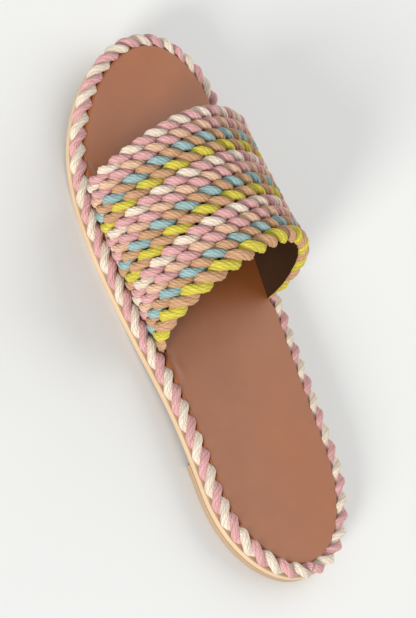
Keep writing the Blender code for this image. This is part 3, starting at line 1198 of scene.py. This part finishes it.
# the strap's ropes from the front to the rear: the two strands, the length of a turn in
# millimetres, and where round its turn the rope starts at the outer end
strapRopes = (
    ("pink", "cream", 13.5, 220),
    ("pink", "peach", 13.2, 225),
    ("blue", "tan", 13.3, 55),
    ("yellow", "tan", 14.9, 20),
    ("pink", "cream", 14.3, 20),
    ("pink", "peach", 13.3, 355),
    ("blue", "tan", 13.4, 250),
    ("yellow", "tan", 15.6, 280),
    ("pink", "cream", 14.1, 275),
    ("pink", "peach", 13.6, 80),
    ("blue", "tan", 13.1, 70),
    ("yellow", "tan", 15.9, 340),
)
strapFine = {
    "samples": 360,
    "endDepth": 4.6 * mm,  # how far the ropes' ends reach down beside the insole
    "dropStep": 0.6 * mm,
    "footBlend": 0.12,  # sine of the angle up to which the outline's normal still counts
    "widenLeast": 0.9,
    "widenMost": 1.12,
    "liningSteps": 44,
    "liningSkip": 2,  # it takes every second section
    "liningFront": 0.36,  # past the front rope's middle, in rope gaps
    "liningRear": 0.40,
    "liningThickness": 0.7 * mm,
    "liningShare": 0.9,  # of that thickness, so its outer face lies just under the ropes' backs
    "endBack": 0.4 * mm,  # the ropes' backs from their middles, where they are pressed flat
    "stillEnd": 4.5 * mm,  # above the foot, where the twist stops
}


def fullness(angle):
    # 0 where the ends are pressed flat, 1 where the ropes are round
    return smoothstep(max(0.0, math.sin(angle)) / strap["fullLevel"])


def strapSections(across):
    # down the outer end's foot, over the arch and down the inner end's foot
    step = strapFine["dropStep"]
    drops = [strapFine["endDepth"] - step * n for n in range(int(strapFine["endDepth"] / step))]
    places = [(0.0, drop) for drop in drops]
    places += [(math.pi * n / strapFine["samples"], 0.0) for n in range(strapFine["samples"] + 1)]
    places += [(math.pi, drop) for drop in reversed(drops)]
    points = [strapMiddle(across, angle) - Vector((0, 0, drop)) for angle, drop in places]
    last = len(points) - 1
    sections = []
    for n, (angle, drop) in enumerate(places):
        side = -1 if angle < math.pi / 2 else 1
        foot = outward(strapEndY(across, side), side)
        blend = smoothstep(math.sin(angle) / strapFine["footBlend"]) if drop == 0 else 0.0
        normal = foot.lerp(strapNormal(across, angle), blend)
        run = (points[min(n + 1, last)] - points[max(n - 1, 0)]).normalized()
        normal = (normal - run * normal.dot(run)).normalized()
        sections.append((points[n], normal, fullness(angle) if drop == 0 else 0.0))
    return sections


def makeStrapRope(number, colours, pitch, start):
    across = number / (strap["ropes"] - 1)
    radius = strap["diameter"] / 2 * ropeGrowth(across)
    sections = strapSections(across)
    aside = strapSections(across + 1 / (strap["ropes"] - 1))
    points = [section[0] for section in sections]
    run = lengths(points)
    count = round(run[-1] / pitch * ropeMake["stationsPerTurn"])
    thin = strap["endWall"] / 2 / radius
    still = strapFine["endDepth"] + strapFine["stillEnd"]
    fullBack = strap["liningDepth"] - strapFine["liningThickness"]
    rows = []
    n = 0
    for k in range(count + 1):
        target = run[-1] * k / count
        while n < len(run) - 2 and run[n + 1] < target:
            n += 1
        share = (target - run[n]) / (run[n + 1] - run[n])
        low, high = sections[n], sections[n + 1]
        out = low[1].lerp(high[1], share)
        forward = (high[0] - low[0]).normalized()
        out = (out - forward * out.dot(forward)).normalized()
        side = forward.cross(out).normalized()
        full = between(low[2], high[2], share)
        neighbour = aside[n][0].lerp(aside[n + 1][0], share)
        home = low[0].lerp(high[0], share)
        room = abs((neighbour - home).dot(side)) / strap["diameter"]
        turned = min(max(target, still), run[-1] - still)
        rows.append(
            {
                "home": toFrame(home),
                "outwards": out,
                "sideways": side,
                "twist": math.tau * turned / pitch + math.radians(start),
                "along": target,
                "backDepth": between(strapFine["endBack"], fullBack, full),
                "squeeze": between(thin, 1.0, full),
                "widen": min(max(room, strapFine["widenLeast"]), strapFine["widenMost"]),
            }
        )
    made = ropeFromRows(
        f"strapRope{number + 1:02d}", rows, False, ropeMake, radius, pitch, colours, number * 7 + 1
    )
    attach(made, "root")
    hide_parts("strap")


def makeLining():
    # one closed shell under the ropes
    acrossSteps, thickness = strapFine["liningSteps"], strapFine["liningThickness"]
    ropeGap = 1 / (strap["ropes"] - 1)
    first, last = -strapFine["liningFront"] * ropeGap, 1 + strapFine["liningRear"] * ropeGap
    columns = [between(first, last, n / acrossSteps) for n in range(acrossSteps + 1)]
    grid = [strapSections(across)[:: strapFine["liningSkip"]] for across in columns]
    rounds = len(grid[0])
    points = []
    for face in ("outer", "inner"):
        order = range(len(columns)) if face == "outer" else reversed(range(len(columns)))
        for column in order:
            for point, normal, full in grid[column]:
                depth = between(strap["endWall"] / 2, strap["liningDepth"], full)
                if face == "outer":
                    depth -= thickness * strapFine["liningShare"]
                points.append(point - normal * depth)
    loops = 2 * len(columns)
    faces = []
    for loop in range(loops):
        a, b = loop * rounds, (loop + 1) % loops * rounds
        for i in range(rounds - 1):
            faces.append((a + i, b + i, b + i + 1, a + i + 1))
    faces.append([loop * rounds for loop in reversed(range(loops))])
    faces.append([loop * rounds + rounds - 1 for loop in range(loops)])
    made = makeObject("splitLeatherLining", points, faces, liningLeather)
    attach(made, "root")
    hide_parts("strap")


makeBorderRope()
print("border rope is laid")
for number, (first, second, turn, start) in enumerate(strapRopes):
    makeStrapRope(number, (first, second), turn * mm, start)
makeLining()
print("strap is laid and lined")


def makeFloor():
    half = paper["size"] / 2
    mesh = bpy.data.meshes.new("backdrop")
    corners = [(-half, -half, 0), (half, -half, 0), (half, half, 0), (-half, half, 0)]
    mesh.from_pydata(corners, [], [(0, 1, 2, 3)])
    mesh.materials.append(makeFloorPaper())
    made = bpy.data.objects.new("backdrop", mesh)
    bpy.context.scene.collection.objects.link(made)


makeFloor()
